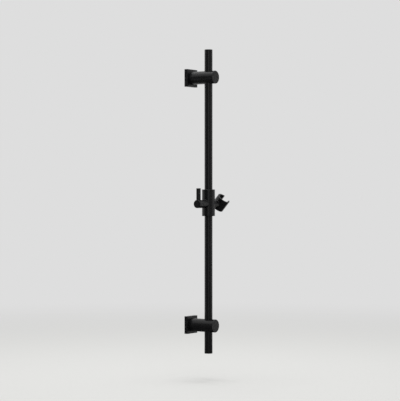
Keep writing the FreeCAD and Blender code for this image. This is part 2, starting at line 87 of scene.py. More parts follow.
def addNode(tree, kind, settings=None, values=None, links=None):
    node = tree.nodes.new(kind)
    for name, setting in (settings or {}).items():
        setattr(node, name, setting)
    for socket, value in (values or {}).items():
        node.inputs[socket].default_value = value
    for socket, source in (links or {}).items():
        tree.links.new(source, node.inputs[socket])
    return node


def newMaterial(name):
    material = bpy.data.materials.new(name)
    material.use_nodes = True
    material.node_tree.nodes.clear()
    place = addNode(material.node_tree, "ShaderNodeTexCoord").outputs["Object"]
    return material, material.node_tree, place


def perMetre(spacing):
    return 1 / (spacing * mm)  # pattern scale for a spacing in millimetres


def addSurface(tree, look, tint, gloss, relief):
    # one pattern mixes the two colours, one shifts the roughness and one raises the bump
    dark, light = [hexToLinear(colour) for colour in look["colours"]]
    mixed = addNode(tree, "ShaderNodeMix", {"data_type": "RGBA"}, {6: dark, 7: light}, {0: tint})
    start, end = look["glossSpan"]
    low, high = look["roughness"]
    span = {"From Min": start, "From Max": end, "To Min": low, "To Max": high}
    rough = addNode(tree, "ShaderNodeMapRange", None, span, {"Value": gloss})
    depth = {"Distance": look["reliefDepth"] * mm}
    bump = addNode(tree, "ShaderNodeBump", None, depth, {"Height": relief})
    shader = addNode(tree, "ShaderNodeBsdfPrincipled", None, look["shader"], {
        "Base Color": mixed.outputs[2],
        "Roughness": rough.outputs["Result"],
        "Normal": bump.outputs["Normal"],
    })
    addNode(tree, "ShaderNodeOutputMaterial", links={"Surface": shader.outputs["BSDF"]})


noiseSpan = (0.3, 0.7)  # where most of a noise pattern lies
fullSpan = (0, 1)

# Satin black coat on brass and steel: baked paint with a faint orange peel, so the eye gets a deep
# black with broad soft reflections that brighten towards the limbs of the round pieces.
blackCoat = {
    "colours": ("#0e0e0f", "#131315"),
    "roughness": (0.26, 0.32),
    "glossSpan": noiseSpan,
    "shader": {"Specular IOR Level": 0.4},
    "cloudSpacing": 9,  # the real clouding is finer, drawn coarse enough to show
    "peelSpacing": 1.1,
    "reliefDepth": 0.004,
}


def makeBlackCoat(look):
    material, tree, place = newMaterial("satinBlackCoat")
    clouding = {"Scale": perMetre(look["cloudSpacing"]), "Detail": 4}
    cloud = addNode(tree, "ShaderNodeTexNoise", None, clouding, {"Vector": place}).outputs["Fac"]
    peeling = {"Scale": perMetre(look["peelSpacing"]), "Detail": 2}
    peel = addNode(tree, "ShaderNodeTexNoise", None, peeling, {"Vector": place}).outputs["Fac"]
    addSurface(tree, look, cloud, cloud, peel)
    return material


# Black acetal, injection moulded: an even dark plastic with a waxy gloss over a fine spark-eroded grain.
blackAcetal = {
    "colours": ("#161617", "#1e1e1f"),
    "roughness": (0.36, 0.48),
    "glossSpan": noiseSpan,
    "shader": {"IOR": 1.48},
    "flowSpacing": 5,
    "grainSpacing": 0.35,
    "reliefDepth": 0.006,
}


def makeBlackAcetal(look):
    material, tree, place = newMaterial("mouldedAcetal")
    flowing = {"Scale": perMetre(look["flowSpacing"]), "Detail": 3, "Distortion": 0.6}
    flow = addNode(tree, "ShaderNodeTexNoise", None, flowing, {"Vector": place}).outputs["Fac"]
    graining = {"Scale": perMetre(look["grainSpacing"]), "Detail": 2}
    grain = addNode(tree, "ShaderNodeTexNoise", None, graining, {"Vector": place}).outputs["Fac"]
    addSurface(tree, look, flow, grain, grain)
    return material


# Zinc-plated die casting: a cool light metal with a faint crystal spangle that shifts its gloss.
zincPlate = {
    "colours": ("#b3b5b7", "#c1c3c5"),
    "roughness": (0.33, 0.43),
    "glossSpan": fullSpan,
    "shader": {"Metallic": 1},
    "spangleSpacing": 1.6,
    "pitSpacing": 0.6,
    "reliefDepth": 0.012,
}


def makeZincPlate(look):
    material, tree, place = newMaterial("zincPlatedCasting")
    crystals = {"Scale": perMetre(look["spangleSpacing"])}
    spangle = addNode(tree, "ShaderNodeTexVoronoi", None, crystals, {"Vector": place}).outputs["Color"]
    shade = addNode(tree, "ShaderNodeSeparateColor", links={"Color": spangle}).outputs["Red"]
    pitting = {"Scale": perMetre(look["pitSpacing"]), "Detail": 3}
    pits = addNode(tree, "ShaderNodeTexNoise", None, pitting, {"Vector": place}).outputs["Fac"]
    addSurface(tree, look, shade, shade, pits)
    return material


# Stainless steel, cold formed and rolled: a grey metal with small streaks that soften its reflections.
stainlessSteel = {
    "colours": ("#9a9a9b", "#bcbcbd"),
    "roughness": (0.22, 0.38),
    "glossSpan": noiseSpan,
    "shader": {"Metallic": 1},
    "streakSpacing": 0.5,
    "reliefDepth": 0.004,
}


def makeStainlessSteel(look):
    material, tree, place = newMaterial("rolledStainlessSteel")
    streaking = {"Scale": perMetre(look["streakSpacing"]), "Detail": 5, "Roughness": 0.65}
    streak = addNode(tree, "ShaderNodeTexNoise", None, streaking, {"Vector": place}).outputs["Fac"]
    addSurface(tree, look, streak, streak, streak)
    return material


# Free-turning brass: a warm yellow metal with fine rings that the lathe tool left round the spindle.
turnedBrass = {
    "colours": ("#b98f45", "#d3ad62"),
    "roughness": (0.2, 0.34),
    "glossSpan": fullSpan,
    "shader": {"Metallic": 1},
    "ringSpacing": 0.3,
    "reliefDepth": 0.006,
}


def makeTurnedBrass(look):
    material, tree, place = newMaterial("turnedBrass")
    lathe = {"wave_type": "BANDS", "bands_direction": "X"}
    feed = {"Scale": perMetre(look["ringSpacing"]) / (2 * math.pi), "Distortion": 1.5, "Detail": 2}
    rings = addNode(tree, "ShaderNodeTexWave", lathe, feed, {"Vector": place}).outputs["Fac"]
    addSurface(tree, look, rings, rings, rings)
    return material


# Black nitrile rubber, moulded: a dull dark surface with a dusty bloom and almost no reflection.
sealRubber = {
    "colours": ("#151515", "#242424"),
    "roughness": (0.62, 0.82),
    "glossSpan": noiseSpan,
    "shader": {"IOR": 1.52},
    "bloomSpacing": 1.5,
    "reliefDepth": 0.02,
}


def makeSealRubber(look):
    material, tree, place = newMaterial("mouldedRubber")
    dusting = {"Scale": perMetre(look["bloomSpacing"]), "Detail": 5}
    bloom = addNode(tree, "ShaderNodeTexNoise", None, dusting, {"Vector": place}).outputs["Fac"]
    addSurface(tree, look, bloom, bloom, bloom)
    return material


finishes = {
    "black_coat": makeBlackCoat(blackCoat),
    "black_plastic": makeBlackAcetal(blackAcetal),
    "bracket_metal": makeZincPlate(zincPlate),
    "screw_steel": makeStainlessSteel(stainlessSteel),
    "spindle_brass": makeTurnedBrass(turnedBrass),
    "seal_rubber": makeSealRubber(sealRubber),
}
for nodeName, node in frame["nodes"].items():
    node.data.materials[0] = finishes[slotOf[nodeName]]
print("finishes made:", len(finishes))


def boxOf(node):
    low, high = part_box(node)
    return low / mm, high / mm


def roundOff(bm, geom, width, steps, affect="EDGES"):
    bmesh.ops.bevel(bm, geom=geom, offset=width, offset_type="OFFSET", segments=steps, profile=0.5,
                    affect=affect, material=-1)


def turnProfile(corners, steps=96, roundSteps=4):
    # corners are (radius, height) or (radius, height, radius of the rounded edge)
    bm = bmesh.new()
    spots = [bm.verts.new((corner[0], 0, corner[1])) for corner in corners]
    bm.faces.new(spots)
    for spot, corner in zip(spots, corners):
        if len(corner) == 3:
            roundOff(bm, [spot], corner[2], roundSteps, "VERTICES")
    for face in bm.faces[:]:
        bm.faces.remove(face)
    for edge in [e for e in bm.edges if all(abs(v.co.x) < samePlace for v in e.verts)]:
        bm.edges.remove(edge)
    bmesh.ops.spin(bm, geom=bm.verts[:] + bm.edges[:], cent=(0, 0, 0), axis=(0, 0, 1), dvec=(0, 0, 0),
                   angle=2 * math.pi, steps=steps, use_merge=True, use_duplicate=False)
    bmesh.ops.remove_doubles(bm, verts=bm.verts, dist=samePlace)
    poles = [v for v in bm.verts if v.co.xy.length < samePlace]
    bmesh.ops.dissolve_verts(bm, verts=poles)  # each end becomes one flat disc
    bmesh.ops.recalc_face_normals(bm, faces=bm.faces)
    return bm


def along(axis, start=(0, 0, 0)):
    turn = Vector((0, 0, 1)).rotation_difference(Vector(axis))
    return Matrix.Translation(start) @ turn.to_matrix().to_4x4()


def draft(bm, place=None):
    if place:
        bm.transform(place)
    mesh = bpy.data.meshes.new("draft")
    bm.to_mesh(mesh)
    bm.free()
    piece = bpy.data.objects.new("draft", mesh)
    scene.collection.objects.link(piece)
    return piece


offBeat = Matrix.Rotation(math.radians(1.3), 4, "Z")  # keeps a tool's facets off the piece's own


def rod(radius, low, high, place, steps=64):
    bm = turnProfile([(0, low), (radius, low), (radius, high), (0, high)], steps)
    return draft(bm, place @ offBeat)


def block(sizes, centre):
    bm = bmesh.new()
    bmesh.ops.create_cube(bm, size=1)
    bmesh.ops.scale(bm, verts=bm.verts, vec=sizes)
    bmesh.ops.translate(bm, verts=bm.verts, vec=centre)
    return bm


def combine(piece, tool, operation):
    # joins, cuts or keeps what two closed pieces share, and uses the tool up
    step = piece.modifiers.new("combine", "BOOLEAN")
    step.operation = operation
    step.object = tool
    step.solver = "EXACT"
    graph = bpy.context.evaluated_depsgraph_get()
    bm = bmesh.new()
    bm.from_object(piece, graph)
    bmesh.ops.remove_doubles(bm, verts=bm.verts, dist=slimmest)
    bmesh.ops.dissolve_degenerate(bm, edges=bm.edges, dist=slimmest)
    piece.modifiers.clear()
    bm.to_mesh(piece.data)
    bm.free()
    bpy.data.objects.remove(tool)


def softenEdges(piece, width, steps, wanted, sharperThan=30):
    # rounds the sharp edges whose middles are wanted
    limit = math.radians(sharperThan)
    bm = bmesh.new()
    bm.from_mesh(piece.data)
    sharp = [e for e in bm.edges if len(e.link_faces) == 2 and e.calc_face_angle() > limit]
    picked = [e for e in sharp if wanted((e.verts[0].co + e.verts[1].co) / 2)]
    roundOff(bm, picked, width, steps)
    bm.to_mesh(piece.data)
    bm.free()


# Rolled fillet where a boss leaves a round body. A bevel along the joined seam tears, so the boss is
# turned as a plain stack of rings and each ring is then laid on the fillet's own line.
flare = {
    "steps": 96,
    "roundSteps": 5,
    "spread": 0.3,       # mm by which the foot reaches past the fillet
    "sink": 0.03,        # mm by which the foot lies under the body's skin
    "startTurn": 1.125,  # degrees that keep its facets off the body's
}


def flaredBoss(radius, reach, bodyRadius, fillet, endRound):
    # boss along local +X out of a body on local Z
    rim = radius + fillet
    outer = bodyRadius + fillet
    shares = [step / flare["roundSteps"] for step in range(flare["roundSteps"] + 1)]

    def lineAlong(across):
        # from the boss's hidden start over its foot, the fillet and the side to the rounded end
        centre = rim * across  # of the fillet's arc
        centre.x = math.sqrt(outer ** 2 - centre.y ** 2)
        toBody = -Vector((centre.x, centre.y, 0)) / outer
        foot = (centre + fillet * toBody) * (1 + flare["spread"] / rim)
        foot.x = math.sqrt((bodyRadius - flare["sink"]) ** 2 - foot.y ** 2)
        line = [Vector((bodyRadius / 2, 0, 0)) + radius * across, foot]
        line += [centre + fillet * toBody.slerp(-across, share) for share in shares]
        for share in shares:
            bend = math.pi / 2 * share
            spot = (radius - endRound + endRound * math.cos(bend)) * across
            spot.x = reach - endRound + endRound * math.sin(bend)
            line.append(spot)
        return line

    last = 2 * len(shares) + 1
    stack = [(0, 0)] + [(1, ring) for ring in range(last + 1)] + [(0, last)]
    bm = turnProfile(stack, flare["steps"])
    bm.transform(Matrix.Rotation(math.radians(flare["startTurn"]), 4, "Z"))
    for vert in bm.verts:
        across = Vector((0, vert.co.x, vert.co.y)).normalized()
        vert.co = lineAlong(across)[round(vert.co.z)]
    bmesh.ops.recalc_face_normals(bm, faces=bm.faces)
    return bm


def placePiece(piece, node, sharperThan=35):
    # brings a finished draft to metres, shades it and hands it to the body of the node it stands for
    first, *others = node.split("_")
    piece.name = first + "".join(word.capitalize() for word in others)
    piece.data.name = piece.name
    piece.data.transform(Matrix.Scale(mm, 4))
    piece.data.materials.clear()
    piece.data.materials.append(finishes[slotOf[node]])
    piece.data.shade_smooth()
    piece.data.set_sharp_from_angle(angle=math.radians(sharperThan))
    weigh = piece.modifiers.new("weightedNormals", "WEIGHTED_NORMAL")
    weigh.keep_sharp = True
    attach(piece, frame["nodes"][node]["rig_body"])
    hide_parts(node)


def fromAxis(spot, axis, start):
    # distance of a spot from a straight axis
    offset = Vector(spot) - Vector(start)
    axis = Vector(axis).normalized()
    return (offset - axis * offset.dot(axis)).length


up = (0, 0, 1)
down = (0, 0, -1)
outOfWall = (0, -1, 0)
intoWall = (0, 1, 0)
toLeft = (-1, 0, 0)
toRight = (1, 0, 0)
turnedRound = Matrix.Rotation(math.pi, 4, "Z")

# Rail: drawn tube with its plug-in caps, cut ends just broken with a file.
rail = {
    "wall": 1.5,
    "edgeRound": 0.25,
    "edgeSteps": 2,
    "capHead": 2.5,
    "capSpigot": 12,
    "capFit": 0.05,
    "capRound": 0.6,
    "steps": 128,
}
railLow, railHigh = boxOf("rail_tube")
railRadius = railHigh.x
railAxis = Vector((0, (railLow.y + railHigh.y) / 2, 0))


def makeRail():
    bore = railRadius - rail["wall"]
    cut = rail["edgeRound"]
    corners = [
        (bore, railLow.z, cut),
        (railRadius, railLow.z, cut),
        (railRadius, railHigh.z, cut),
        (bore, railHigh.z, cut),
    ]
    tube = draft(turnProfile(corners, rail["steps"], rail["edgeSteps"]), along(up, railAxis))
    placePiece(tube, "rail_tube")
    spigot = bore - rail["capFit"]
    corners = [
        (0, -rail["capSpigot"]),
        (spigot, -rail["capSpigot"], rail["capRound"]),
        (spigot, 0),
        (railRadius, 0, cut),
        (railRadius, rail["capHead"], rail["capRound"]),
        (0, rail["capHead"]),
    ]
    for side, end, direction in (("upper", railHigh.z, up), ("lower", railLow.z, down)):
        place = along(direction, railAxis + Vector((0, 0, end)))
        placePiece(draft(turnProfile(corners, rail["steps"]), place), side + "_end_cap")


makeRail()
print("rail made")

# Square cover plate, milled from a block: hollow behind, crisp corners, front edges just rounded.
coverPlate = {
    "wall": 2.5,
    "face": 2.5,
    "cornerRound": 0.8,
    "frontRound": 0.6,
    "insideRound": 1.5,
    "eyeRadius": 9,
    "roundSteps": 3,
}


def roundedBlock(sizes, centre, cornerRound):
    # block whose four edges into the wall are rounded
    bm = block(sizes, centre)
    corners = [e for e in bm.edges if abs((e.verts[0].co - e.verts[1].co).y) > samePlace]
    roundOff(bm, corners, cornerRound, coverPlate["roundSteps"])
    return bm


def makeCoverPlate(side):
    node = side + "_cover_plate"
    low, high = boxOf(node)
    centre = (low + high) / 2
    bm = roundedBlock(high - low, centre, coverPlate["cornerRound"])
    frontEdges = [e for e in bm.edges if all(abs(v.co.y - low.y) < samePlace for v in e.verts)]
    roundOff(bm, frontEdges, coverPlate["frontRound"], coverPlate["roundSteps"])
    plate = draft(bm)
    room = high - low - Vector((2 * coverPlate["wall"], 0, 2 * coverPlate["wall"]))
    behind = centre + Vector((0, coverPlate["face"], 0))
    combine(plate, draft(roundedBlock(room, behind, coverPlate["insideRound"])), "DIFFERENCE")
    depth = high.y - low.y
    eye = rod(coverPlate["eyeRadius"], -depth, depth, along(outOfWall, centre))
    combine(plate, eye, "DIFFERENCE")
    placePiece(plate, node)


# Post, turned from bar: a ring groove and peg bore in its foot, bored across for the rail.
post = {
    "pegBore": 8.55,
    "pegDepth": 19,
    "screwBore": 3.05,
    "grooveInside": 11.625,
    "grooveOutside": 13.375,
    "grooveDepth": 1.65,
    "endRound": 1,
    "footRound": 0.3,
    "railFit": 0.05,
    "rimRound": 0.35,
    "rimSteps": 3,
    "pegScrewInset": 9,
    "pegScrewBore": 2.55,
    "steps": 128,
}


def makePost(side):
    node = side + "_post"
    low, high = boxOf(node)
    centre = (low + high) / 2
    radius = high.x
    length = high.y - low.y
    foot = Vector((0, high.y, centre.z))
    railPlace = foot.y - railAxis.y
    corners = [
        (post["pegBore"], 0, post["footRound"]),
        (post["grooveInside"], 0),
        (post["grooveInside"], post["grooveDepth"]),
        (post["grooveOutside"], post["grooveDepth"]),
        (post["grooveOutside"], 0),
        (radius, 0, post["footRound"]),
        (radius, length, post["endRound"]),
        (0, length),
        (0, railPlace),
        (post["screwBore"], railPlace),
        (post["screwBore"], post["pegDepth"]),
        (post["pegBore"], post["pegDepth"]),
    ]
    made = draft(turnProfile(corners, post["steps"]), along(outOfWall, foot))
    railBore = railRadius + post["railFit"]
    crossing = railAxis + Vector((0, 0, centre.z))
    cutter = rod(railBore, -2 * radius, 2 * radius, along(up, crossing), post["steps"])
    combine(made, cutter, "DIFFERENCE")
    screwPlace = foot - Vector((0, post["pegScrewInset"], 0))
    combine(made, rod(post["pegScrewBore"], 0, 2 * radius, along(down, screwPlace)), "DIFFERENCE")

    def onRim(spot):
        onRail = abs(fromAxis(spot, up, crossing) - railBore) < onSurface
        onScrew = abs(fromAxis(spot, up, screwPlace) - post["pegScrewBore"]) < onSurface
        outside = abs(fromAxis(spot, outOfWall, foot) - radius) < 2 * onSurface
        return outside and (onRail or onScrew and spot.z < centre.z)

    softenEdges(made, post["rimRound"], post["rimSteps"], onRim)
    placePiece(made, node)


for side in ("upper", "lower"):
    makeCoverPlate(side)
    makePost(side)
print("plates and posts made")

# Thread: a helical ridge, kept inside an outline that gives the screw its point and ends.
thread = {
    "depth": 0.6,  # as a share of the pitch, as are the heights in the profile
    "profile": ((0, 0), (0, 0.2), (1, 0.55), (1, 0.65), (0, 1)),  # root 0 to crest 1, and height
    "spare": 0.2,  # mm by which the outline stands off the crests
    "turnsBefore": 2,  # by which the ridge starts ahead of the outline
    "turnsAfter": 3,
    "endCuts": (1.3, 0.3),  # turns trimmed off the ridge's ends
    "keyOverrun": 1,  # mm by which a key's cutter stands out of its socket
    "steps": 40,
    "outlineSteps": 64,
}


def threaded(corners, radius, pitch, place):
    depth = thread["depth"] * pitch
    steps = thread["steps"]
    heights = [corner[1] for corner in corners]
    low = min(heights) - thread["turnsBefore"] * pitch
    turns = math.ceil((max(heights) - low) / pitch) + thread["turnsAfter"]
    bm = bmesh.new()
    spots = []
    for rise, share in thread["profile"]:
        spots.append(bm.verts.new((radius - depth + rise * depth, 0, low + share * pitch)))
    edges = [bm.edges.new(pair) for pair in zip(spots, spots[1:])]
    bmesh.ops.spin(bm, geom=spots + edges, cent=(0, 0, 0), axis=(0, 0, 1), dvec=(0, 0, pitch / steps),
                   angle=2 * math.pi * turns, steps=steps * turns, use_duplicate=False)
    bmesh.ops.remove_doubles(bm, verts=bm.verts, dist=samePlace)
    lowCut, highCut = thread["endCuts"]
    for height, side in ((low + lowCut * pitch, -1), (low + (turns - highCut) * pitch, 1)):
        bmesh.ops.bisect_plane(bm, geom=bm.verts[:] + bm.edges[:] + bm.faces[:], dist=samePlace,
                               plane_co=(0, 0, height), plane_no=(0, 0, side), clear_outer=True)
    bmesh.ops.holes_fill(bm, edges=[e for e in bm.edges if e.is_boundary])
    bmesh.ops.recalc_face_normals(bm, faces=bm.faces)
    screw = draft(bm)
    combine(screw, draft(turnProfile(corners, thread["outlineSteps"]), offBeat), "INTERSECT")
    screw.data.transform(place)
    return screw


def cutKey(screw, width, end, depth, place):
    # hexagon socket of a width across flats
    key = rod(width / math.sqrt(3), end - depth, end + thread["keyOverrun"], place, 6)
    combine(screw, key, "DIFFERENCE")


# Grub screws with a cone point: in each post one on the peg and one behind the rail.
grubScrew = {
    "peg": {"radius": 2.5, "pitch": 0.8, "key": 2.5, "axis": down},
    "rail": {"radius": 3, "pitch": 1, "key": 3, "axis": intoWall},
    "pointFlat": 0.4,
    "socketDepth": 2.5,
}


def makeGrubScrew(side, kind):
    node = side + "_" + kind + "_screw"
    sizes = grubScrew[kind]
    low, high = boxOf(node)
    length = max(high - low)
    start = (low + high) / 2 - Vector(sizes["axis"]) * length / 2
    outside = sizes["radius"] + thread["spare"]
    chamfer = thread["depth"] * sizes["pitch"] + thread["spare"]
    corners = [
        (0, 0),
        (grubScrew["pointFlat"], 0),
        (outside, outside - grubScrew["pointFlat"]),
        (outside, length - chamfer),
        (outside - chamfer, length),
        (0, length),
    ]
    place = along(sizes["axis"], start)
    screw = threaded(corners, sizes["radius"], sizes["pitch"], place)
    cutKey(screw, sizes["key"], length, grubScrew["socketDepth"], place)
    placePiece(screw, node)


for side in ("upper", "lower"):
    makeGrubScrew(side, "peg")
    makeGrubScrew(side, "rail")
print("grub screws made")

# Sleeve of the slider: turned body with a boss brazed on each side, bored for the bushes and the lock.
sleeve = {
    "endRound": 0.8,
    "mouthRound": 0.3,
    "mouthSteps": 2,
    "lockBoss": 10,
    "cupBoss": 9.5,
    "bossRound": 0.4,
    "filletRadius": 1,
    "bushSeat": 12.7,
    "ridgeGroove": 13.2,
    "groove": (5.45, 7.75),
    "seatDepth": 18.9,
    "waist": 11,
    "lockBore": 5.05,
    "swivelBore": 2.55,
    "pivotPocket": 6.05,
    "pivotDepth": 4.8,
    "steps": 128,
}


def makeSleeve():
    low, high = boxOf("slider_sleeve")
    radius = (high.y - low.y) / 2
    leftReach = -low.x
    rightReach = high.x
    cut = sleeve["endRound"]
    corners = [(0, low.z), (radius, low.z, cut), (radius, high.z, cut), (0, high.z)]
    body = draft(turnProfile(corners, sleeve["steps"]), along(up, railAxis))
    bosses = ((sleeve["lockBoss"], leftReach, turnedRound), (sleeve["cupBoss"], rightReach, Matrix()))
    for boss, reach, turn in bosses:
        bm = flaredBoss(boss, reach, radius, sleeve["filletRadius"], sleeve["bossRound"])
        combine(body, draft(bm, Matrix.Translation(sliderCentre) @ turn), "UNION")
    near, far = sleeve["groove"]
    seat = sleeve["bushSeat"]
    groove = sleeve["ridgeGroove"]
    half = [
        (0, -overrun),
        (seat, -overrun),
        (seat, near),
        (groove, near),
        (groove, far),
        (seat, far),
        (seat, sleeve["seatDepth"]),
        (sleeve["waist"], sleeve["seatDepth"]),
    ]
    corners = [(across, low.z + depth) for across, depth in half]
    corners += [(across, high.z - depth) for across, depth in reversed(half)]
    bore = draft(turnProfile(corners, sleeve["steps"]), along(up, railAxis) @ offBeat)
    left = along(toLeft, sliderCentre)
    right = along(toRight, sliderCentre)
    pocketFloor = rightReach - sleeve["pivotDepth"]
    combine(body, bore, "DIFFERENCE")
    combine(body, rod(sleeve["lockBore"], 0, leftReach + overrun, left), "DIFFERENCE")
    combine(body, rod(sleeve["swivelBore"], 0, rightReach + overrun, right), "DIFFERENCE")
    combine(body, rod(sleeve["pivotPocket"], pocketFloor, rightReach + overrun, right), "DIFFERENCE")

    def onMouth(spot):
        atEnd = min(abs(spot.z - low.z), abs(spot.z - high.z)) < onSurface
        return atEnd and abs(fromAxis(spot, up, railAxis) - seat) < onSurface

    softenEdges(body, sleeve["mouthRound"], sleeve["mouthSteps"], onMouth)
    placePiece(body, "slider_sleeve")


makeSleeve()

# Guide bushes: acetal rings with a snap ridge, and a lead-in at their outer ends.
guideBush = {
    "bore": 10.05,
    "outside": 12.65,
    "ridge": 13.15,
    "ridgeAt": (11, 13),
    "ridgeSlope": 0.5,
    "lead": 0.6,
    "edgeRound": 0.3,
}


def makeBush(side, direction):
    node = side + "_guide_bush"
    low, high = boxOf(node)
    length = high.z - low.z
    start = railAxis + Vector((0, 0, low.z if direction == up else high.z))
    ridgeLow, ridgeHigh = guideBush["ridgeAt"]
    corners = [
        (guideBush["bore"], 0, guideBush["edgeRound"]),
        (guideBush["outside"], 0, guideBush["edgeRound"]),
        (guideBush["outside"], ridgeLow),
        (guideBush["ridge"], ridgeLow + guideBush["ridgeSlope"]),
        (guideBush["ridge"], ridgeHigh),
        (guideBush["outside"], ridgeHigh),
        (guideBush["outside"], length, guideBush["edgeRound"]),
        (guideBush["bore"] + guideBush["lead"], length),
        (guideBush["bore"], length - guideBush["lead"]),
    ]
    placePiece(draft(turnProfile(corners), along(direction, start)), node)


makeBush("upper", up)
makeBush("lower", down)
print("sleeve and bushes made")

# Lock: brass spindle with a coarse thread, the hub pressed on it and the lever screwed into the hub.
lock = {
    "tipRadius": 2,
    "threadStart": 17.41,
    "threadEnd": 36.95,
    "threadRadius": 5,
    "pitch": 1.25,
    "spigotRadius": 4,
    "spigotStart": 27.41,  # inside the thread
    "spindleRound": 0.4,
    "spindleSteps": 64,
    "hubBore": 4.05,
    "hubBoreDepth": 10.5,
    "hubInnerRound": 0.4,
    "hubOuterRound": 1.4,
    "hubSteps": 128,
    "leverAcross": 44,  # distance of the lever from the rail
    "seatHeight": 8.3,
    "seatRadius": 5.55,
    "socketRadius": 3.55,
    "leverSpigot": 3.5,
    "leverFoot": 4.05,
    "leverShoulder": 8.35,
    "leverRound": 1.2,
    "leverSteps": 96,
    "roundSteps": 6,
    "rimRound": 0.3,
    "rimSteps": 2,
    "rimAbove": 0.02,  # how far the seat's rim lies above its floor at least
}
leverPlace = sliderCentre - Vector((lock["leverAcross"], 0, 0))


def makeSpindle():
    low, high = boxOf("lock_spindle")
    tip = -high.x
    end = -low.x
    start = lock["threadStart"]
    stop = lock["threadEnd"]
    crest = lock["threadRadius"]
    root = crest - thread["depth"] * lock["pitch"]
    edge = crest - root + thread["spare"]
    corners = [
        (0, start),
        (root, start),
        (root + edge, start + edge),
        (root + edge, stop - edge),
        (root, stop),
        (0, stop),
    ]
    place = along(toLeft, sliderCentre)
    spindle = threaded(corners, crest, lock["pitch"], place)
    cut = lock["spindleRound"]
    corners = [
        (0, tip),
        (lock["tipRadius"], tip, cut),
        (lock["tipRadius"], lock["spigotStart"]),
        (lock["spigotRadius"], lock["spigotStart"]),
        (lock["spigotRadius"], end, cut),
        (0, end),
    ]
    ends = draft(turnProfile(corners, lock["spindleSteps"]), place @ offBeat)
    combine(spindle, ends, "UNION")
    placePiece(spindle, "lock_spindle")


def makeHub():
    low, high = boxOf("lever_hub")
    radius = (high.y - low.y) / 2
    inner = -high.x
    outer = -low.x
    floor = inner + lock["hubBoreDepth"]
    corners = [
        (lock["hubBore"], inner),
        (radius, inner, lock["hubInnerRound"]),
        (radius, outer, lock["hubOuterRound"]),
        (0, outer),
        (0, floor),
        (lock["hubBore"], floor),
    ]
    hub = draft(turnProfile(corners, lock["hubSteps"], lock["roundSteps"]), along(toLeft, sliderCentre))
    upright = along(up, leverPlace)
    combine(hub, rod(lock["seatRadius"], lock["seatHeight"], 2 * radius, upright), "DIFFERENCE")
    combine(hub, rod(lock["socketRadius"], 0, 2 * radius, upright), "DIFFERENCE")

    def onRim(spot):
        onSeat = abs(fromAxis(spot, up, leverPlace) - lock["seatRadius"]) < onSurface
        return onSeat and spot.z > leverPlace.z + lock["seatHeight"] + lock["rimAbove"]

    softenEdges(hub, lock["rimRound"], lock["rimSteps"], onRim)
    placePiece(hub, "lever_hub")


def makeLever():
    low, high = boxOf("lever_rod")
    radius = (high.x - low.x) / 2
    top = high.z - sliderCentre.z
    corners = [
        (0, lock["leverFoot"]),
        (lock["leverSpigot"], lock["leverFoot"], lock["spindleRound"]),
        (lock["leverSpigot"], lock["leverShoulder"]),
        (radius, lock["leverShoulder"], lock["rimRound"]),
        (radius, top, lock["leverRound"]),
        (0, top),
    ]
    lever = draft(turnProfile(corners, lock["leverSteps"], lock["roundSteps"]), along(up, leverPlace))
    placePiece(lever, "lever_rod")


makeSpindle()
makeHub()
makeLever()
print("lock made")

# Cup for the handset, tilted to the user: tapered bore, slot for the hose, neck into the sleeve's boss.
cup = {
    "tilt": 42,
    "across": 50.5,  # distance of the cup's axis from the rail
    "radius": 17,
    "foot": -12.25,
    "top": 19.25,
    "neckStart": 23,
    "neckRadius": 9.5,
    "neckRound": 0.4,
    "filletRadius": 1.35,
    "spigotStart": 17.5,
    "spigotRadius": 6,
    "spigotOverlap": 1,
    "footBore": 11.8,
    "topBore": 13.2,
    "slotWidth": 17.8,
    "headBore": 4.55,
    "headFloor": 32,
    "shankBore": 2.8,
    "edgeRound": 0.7,
    "edgeSteps": 4,
    "edgeAngle": 40,
    "screwMargin": 2,  # left sharp round the screw's head
    "steps": 128,
}


def makeCup():
    # modelled upright beside a rail at the origin, then tilted and carried to the slider
    axisFoot = Vector((cup["across"], 0, 0))
    upright = along(up, axisFoot)
    level = along(toRight)
    foot = cup["foot"]
    top = cup["top"]
    corners = [(0, foot), (cup["radius"], foot), (cup["radius"], top), (0, top)]
    body = draft(turnProfile(corners, cup["steps"]), upright)
    reach = cup["across"] - cup["neckStart"]
    neck = flaredBoss(cup["neckRadius"], reach, cup["radius"], cup["filletRadius"], cup["neckRound"])
    combine(body, draft(neck, Matrix.Translation(axisFoot) @ turnedRound), "UNION")
    spigotEnd = cup["neckStart"] + cup["spigotOverlap"]
    combine(body, rod(cup["spigotRadius"], cup["spigotStart"], spigotEnd, level), "UNION")
    spread = overrun * (cup["topBore"] - cup["footBore"]) / (top - foot)
    corners = [
        (0, foot - overrun),
        (cup["footBore"] - spread, foot - overrun),
        (cup["topBore"] + spread, top + overrun),
        (0, top + overrun),
    ]
    combine(body, draft(turnProfile(corners, cup["steps"]), upright @ offBeat), "DIFFERENCE")
    width = 2 * cup["radius"]
    slot = block((width, cup["slotWidth"], 3 * width), axisFoot + Vector((width / 2, 0, 0)))
    combine(body, draft(slot), "DIFFERENCE")
    combine(body, rod(cup["headBore"], cup["headFloor"], cup["across"], level), "DIFFERENCE")
    combine(body, rod(cup["shankBore"], 0, cup["across"], level), "DIFFERENCE")

    def onRim(spot):
        # edges of the bore, the slot and the outside, but none on the neck or round the screw
        pastNeck = spot.x > cup["across"] - cup["radius"] - onSurface
        offScrew = fromAxis(spot, toRight, (0, 0, 0)) > cup["headBore"] + cup["screwMargin"]
        return pastNeck and offScrew and fromAxis(spot, up, axisFoot) > cup["footBore"] - spread

    softenEdges(body, cup["edgeRound"], cup["edgeSteps"], onRim, cup["edgeAngle"])
    tilt = Matrix.Rotation(math.radians(cup["tilt"]), 4, "X")
    body.data.transform(Matrix.Translation(sliderCentre) @ tilt)
    placePiece(body, "handset_cup")


makeCup()

